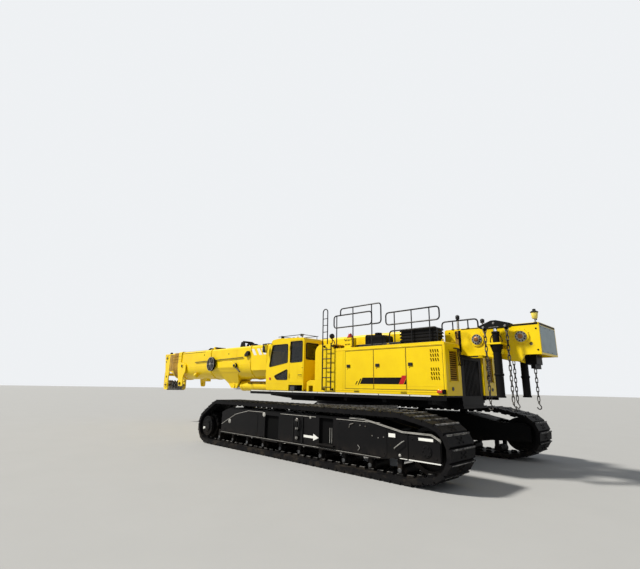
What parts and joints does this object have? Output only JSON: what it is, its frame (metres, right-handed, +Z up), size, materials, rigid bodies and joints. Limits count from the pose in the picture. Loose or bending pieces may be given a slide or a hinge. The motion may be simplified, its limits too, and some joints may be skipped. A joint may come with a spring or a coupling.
{
  "type": "telescopic boom crawler crane",
  "caption": "Crawler crane with a lowered telescopic boom, tilting cab, twin winches and counterweight chains.",
  "frame": {"origin": "middle of the bounding box, on the ground under the tracks", "axes": "+X towards the boom head, +Y the cab side, +Z up"},
  "size_m": [19.9984, 6.25, 4.4978],
  "materials": {
    "yellow_paint": "gloss yellow paint",
    "black_paint": "satin black paint",
    "track_steel": "dusty black steel",
    "black_tube": "black tube",
    "machined_steel": "greased steel",
    "chrome_rod": "hard chrome",
    "engine_grey": "grey paint",
    "cab_glass": "tinted glass",
    "seat_cloth": "black cloth",
    "lamp_parts": "amber and black plastic",
    "black_plastic": "black plastic"
  },
  "bodies": {
    "undercarriage": {"carbody": "black_paint", "slewing_ring": "machined_steel", "track_frame_left": "black_paint", "track_frame_right": "black_paint", "track_left": "track_steel", "track_right": "track_steel", "rollers_left": "black_paint", "rollers_right": "black_paint"},
    "superstructure": {"upper_frame": "black_paint", "decks": "black_paint", "house_left": "yellow_paint", "house_right": "yellow_paint", "engine": "engine_grey", "rear_grille": "black_paint", "ladder": "black_tube", "roof_rails": "black_tube", "roof_boxes": "black_paint", "lamps": "lamp_parts", "winch_frame": "yellow_paint", "lift_barrels": "black_paint"},
    "cab": {"cab_shell": "yellow_paint", "cab_glass": "cab_glass", "cab_seat": "seat_cloth", "cab_roof_gear": "black_tube"},
    "cab_door": {"cab_door": "yellow_paint", "cab_door_glass": "cab_glass"},
    "boom": {"boom_base": "yellow_paint", "boom_fittings": "black_tube"},
    "cable_reel": {"cable_reel": "black_plastic"},
    "section_2": {"boom_section_2": "yellow_paint"},
    "section_3": {"boom_section_3": "yellow_paint"},
    "section_4": {"boom_section_4": "yellow_paint"},
    "section_5": {"boom_section_5": "yellow_paint"},
    "section_6": {"boom_section_6": "yellow_paint"},
    "head_sheaves": {"head_sheaves": "machined_steel"},
    "guide_sheaves": {"guide_sheaves": "machined_steel"},
    "luff_barrel": {"luff_barrel": "yellow_paint"},
    "luff_rod": {"luff_rod": "chrome_rod"},
    "drum_main": {"drum_main": "machined_steel"},
    "drum_aux": {"drum_aux": "machined_steel"},
    "lift_gear": {"lift_yokes": "black_paint", "lift_chains": "track_steel"},
    "door_left_1": {"door_left_1": "yellow_paint"},
    "door_left_2": {"door_left_2": "yellow_paint"},
    "door_left_3": {"door_left_3": "yellow_paint"},
    "door_right_1": {"door_right_1": "yellow_paint"},
    "door_right_2": {"door_right_2": "yellow_paint"},
    "door_right_3": {"door_right_3": "yellow_paint"}
  },
  "joints": [
    {"name": "slew", "type": "hinge", "parent": "undercarriage", "child": "superstructure", "pos_m": [-3.945, 0, 1.46], "axis": [0, 0, 1], "continuous": true},
    {"name": "boom_luff", "type": "hinge", "parent": "superstructure", "child": "boom", "pos_m": [-6.845, 0, 3], "axis": [0, -1, 0], "range_deg": [0, 82]},
    {"name": "luff_barrel_turn", "type": "hinge", "parent": "superstructure", "child": "luff_barrel", "pos_m": [-3.345, 0, 1.94], "axis": [0, -1, 0], "range_deg": [0, 95.53]},
    {"name": "luff_rod_slide", "type": "slide", "parent": "luff_barrel", "child": "luff_rod", "axis": [1, 0, 0.0031], "range_m": [0, 4.3725]},
    {"name": "cab_tilt", "type": "hinge", "parent": "superstructure", "child": "cab", "pos_m": [-2.805, 1.075, 1.8553], "axis": [0, -1, 0], "range_deg": [0, 20]},
    {"name": "cab_door_swing", "type": "hinge", "parent": "cab", "child": "cab_door", "pos_m": [-2.133, 1.516, 2.6], "axis": [0, 0, -1], "range_deg": [0, 95]},
    {"name": "door_left_1_swing", "type": "hinge", "parent": "superstructure", "child": "door_left_1", "pos_m": [-5.806, 1.5, 2.4], "axis": [0, 0, 1], "range_deg": [0, 110]},
    {"name": "door_left_2_swing", "type": "hinge", "parent": "superstructure", "child": "door_left_2", "pos_m": [-6.891, 1.5, 2.4], "axis": [0, 0, 1], "range_deg": [0, 110]},
    {"name": "door_left_3_swing", "type": "hinge", "parent": "superstructure", "child": "door_left_3", "pos_m": [-7.976, 1.5, 2.4], "axis": [0, 0, 1], "range_deg": [0, 110]},
    {"name": "door_right_1_swing", "type": "hinge", "parent": "superstructure", "child": "door_right_1", "pos_m": [-5.806, -1.5, 2.4], "axis": [0, 0, -1], "range_deg": [0, 110]},
    {"name": "door_right_2_swing", "type": "hinge", "parent": "superstructure", "child": "door_right_2", "pos_m": [-6.891, -1.5, 2.4], "axis": [0, 0, -1], "range_deg": [0, 110]},
    {"name": "door_right_3_swing", "type": "hinge", "parent": "superstructure", "child": "door_right_3", "pos_m": [-7.976, -1.5, 2.4], "axis": [0, 0, -1], "range_deg": [0, 110]},
    {"name": "section_2_slide", "type": "slide", "parent": "boom", "child": "section_2", "axis": [1, 0, 0], "range_m": [0, 11.4]},
    {"name": "section_3_slide", "type": "slide", "parent": "section_2", "child": "section_3", "axis": [1, 0, 0], "range_m": [0, 11.4]},
    {"name": "section_4_slide", "type": "slide", "parent": "section_3", "child": "section_4", "axis": [1, 0, 0], "range_m": [0, 11.4]},
    {"name": "section_5_slide", "type": "slide", "parent": "section_4", "child": "section_5", "axis": [1, 0, 0], "range_m": [0, 11.4]},
    {"name": "section_6_slide", "type": "slide", "parent": "section_5", "child": "section_6", "axis": [1, 0, 0], "range_m": [0, 11.4]},
    {"name": "head_sheaves_spin", "type": "hinge", "parent": "section_6", "child": "head_sheaves", "pos_m": [9.55, 0, 1.94], "axis": [0, 1, 0], "continuous": true},
    {"name": "guide_sheaves_spin", "type": "hinge", "parent": "section_6", "child": "guide_sheaves", "pos_m": [9.695, 0, 3.41], "axis": [0, 1, 0], "continuous": true},
    {"name": "cable_reel_spin", "type": "hinge", "parent": "boom", "child": "cable_reel", "pos_m": [4.525, 0.6, 2.94], "axis": [0, 1, 0], "continuous": true},
    {"name": "drum_main_spin", "type": "hinge", "parent": "superstructure", "child": "drum_main", "pos_m": [-8.505, 0, 3.23], "axis": [0, 1, 0], "continuous": true},
    {"name": "drum_aux_spin", "type": "hinge", "parent": "superstructure", "child": "drum_aux", "pos_m": [-9.585, 0, 3.23], "axis": [0, 1, 0], "continuous": true},
    {"name": "lift_slide", "type": "slide", "parent": "superstructure", "child": "lift_gear", "axis": [0, 0, 1], "range_m": [0, 0.8]}
  ],
  "couplings": [
    {"joint": "luff_barrel_turn", "follows": "boom_luff", "ratio": 1.1648},
    {"joint": "luff_rod_slide", "follows": "boom_luff", "m_per_rad": 3.0545}
  ]
}
